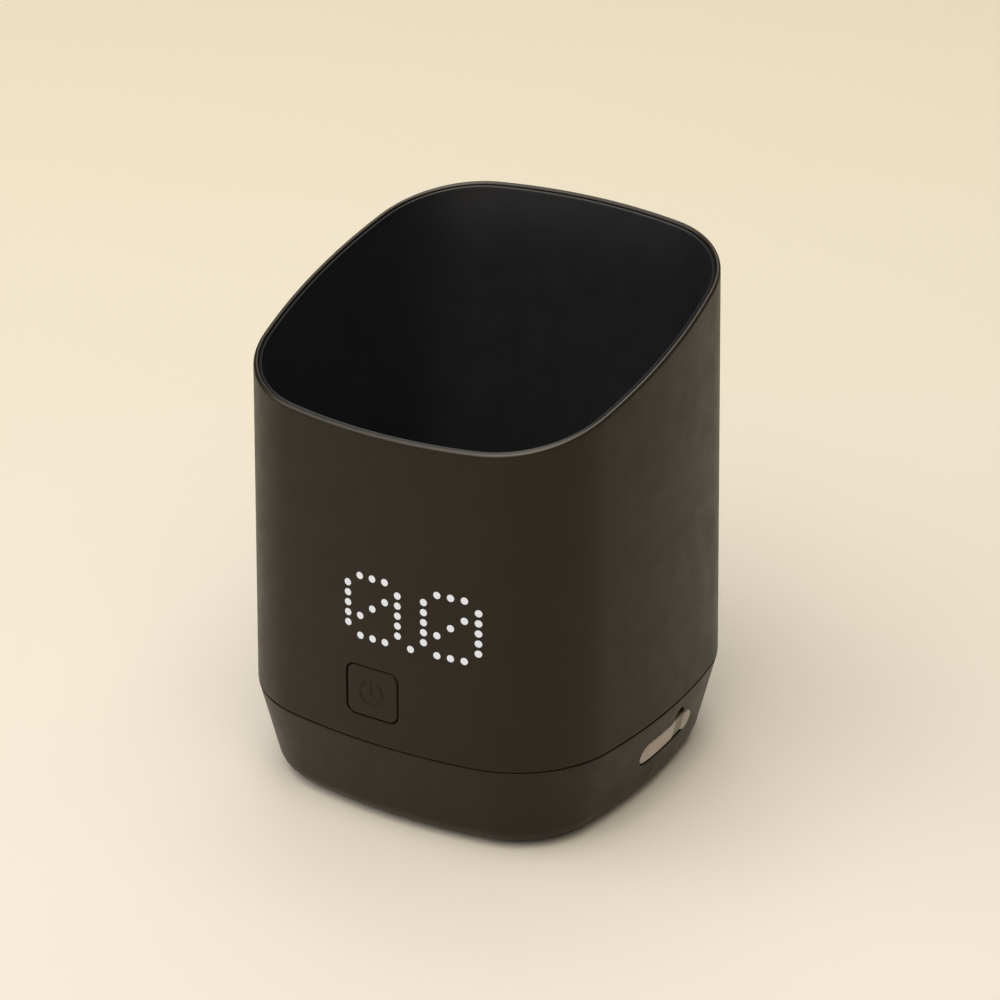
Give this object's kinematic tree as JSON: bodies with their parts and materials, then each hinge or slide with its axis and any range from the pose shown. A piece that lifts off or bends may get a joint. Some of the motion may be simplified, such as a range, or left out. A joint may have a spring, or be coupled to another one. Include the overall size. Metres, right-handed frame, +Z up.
{
  "type": "toothbrush sanitizer",
  "caption": "Square tapered toothbrush cup with a slanted mouth, dot-matrix read-out, power button, covered charging port and an ultraviolet lamp under its floor window.",
  "frame": {"origin": "centre of the footprint, on the surface that the feet stand on", "axes": "+Z up, -Y out of the front with the read-out and button, +X out of the side with the charging port"},
  "size_m": [0.0806, 0.0806, 0.1035],
  "materials": {
    "body_plastic": "fine satin moulded black-brown plastic",
    "base_plastic": "fine satin moulded black-brown plastic",
    "button_plastic": "fine satin moulded black-brown plastic",
    "cup_plastic": "satin black liner",
    "black_rubber": "matt",
    "foot_rubber": "matt",
    "screw_steel": "plain zinc-plated steel",
    "window_glass": "polished quartz",
    "clear_silicone": "soft satin",
    "lamp_board": "white solder resist on aluminium",
    "lamp_ceramic": "ceramic package",
    "red_wire": "insulated wire",
    "black_wire": "insulated wire",
    "circuit_board": "green solder resist",
    "white_plastic": "moulded",
    "black_plastic": "moulded",
    "lit_dots": "glowing white",
    "ribbon_film": "amber film",
    "coil_ferrite": "ferrite",
    "capacitor_body": "ceramic",
    "battery_foil": "satin laminate",
    "black_foam": "foam tape",
    "socket_steel": "stamped",
    "cover_silicone": "translucent warm grey silicone"
  },
  "bodies": {
    "root": {"outer_shell": "body_plastic", "base_shell": "base_plastic", "inner_cup": "cup_plastic", "rim_seal": "black_rubber", "seam_gasket": "black_rubber", "foot_1": "foot_rubber", "foot_2": "foot_rubber", "foot_3": "foot_rubber", "foot_4": "foot_rubber", "base_screws": "screw_steel", "uv_window": "window_glass", "window_gasket": "clear_silicone", "uv_board": "lamp_board", "uv_emitters": "lamp_ceramic", "uv_screws": "screw_steel", "uv_leads": "red_wire", "front_board": "circuit_board", "front_screws": "screw_steel", "light_mask": "white_plastic", "display_leds": "lamp_ceramic", "display_dots": "lit_dots", "switch_body": "black_plastic", "ribbon_cable": "ribbon_film", "main_board": "circuit_board", "board_screws": "screw_steel", "control_chip": "black_plastic", "charge_chip": "black_plastic", "power_coil": "coil_ferrite", "capacitors": "capacitor_body", "cable_sockets": "white_plastic", "battery": "battery_foil", "battery_pad": "black_foam", "battery_leads": "black_wire", "usb_socket": "socket_steel", "usb_tongue": "black_plastic", "cover_anchor": "cover_silicone"},
    "power_button": {"power_button": "button_plastic", "switch_stem": "white_plastic"},
    "port_cover": {"port_cover": "cover_silicone"}
  },
  "joints": [
    {"name": "power_button_press", "type": "slide", "parent": "root", "child": "power_button", "axis": [0, 1, 0], "range_m": [0, 0.0005], "stiffness_N_per_m": 3000},
    {"name": "port_cover_hinge", "type": "hinge", "parent": "root", "child": "port_cover", "pos_m": [0.03812, -0.00445, 0.01129], "axis": [-0.2372, 0, -0.9715], "range_deg": [0, 100], "stiffness_Nm_per_rad": 0.0004}
  ]
}
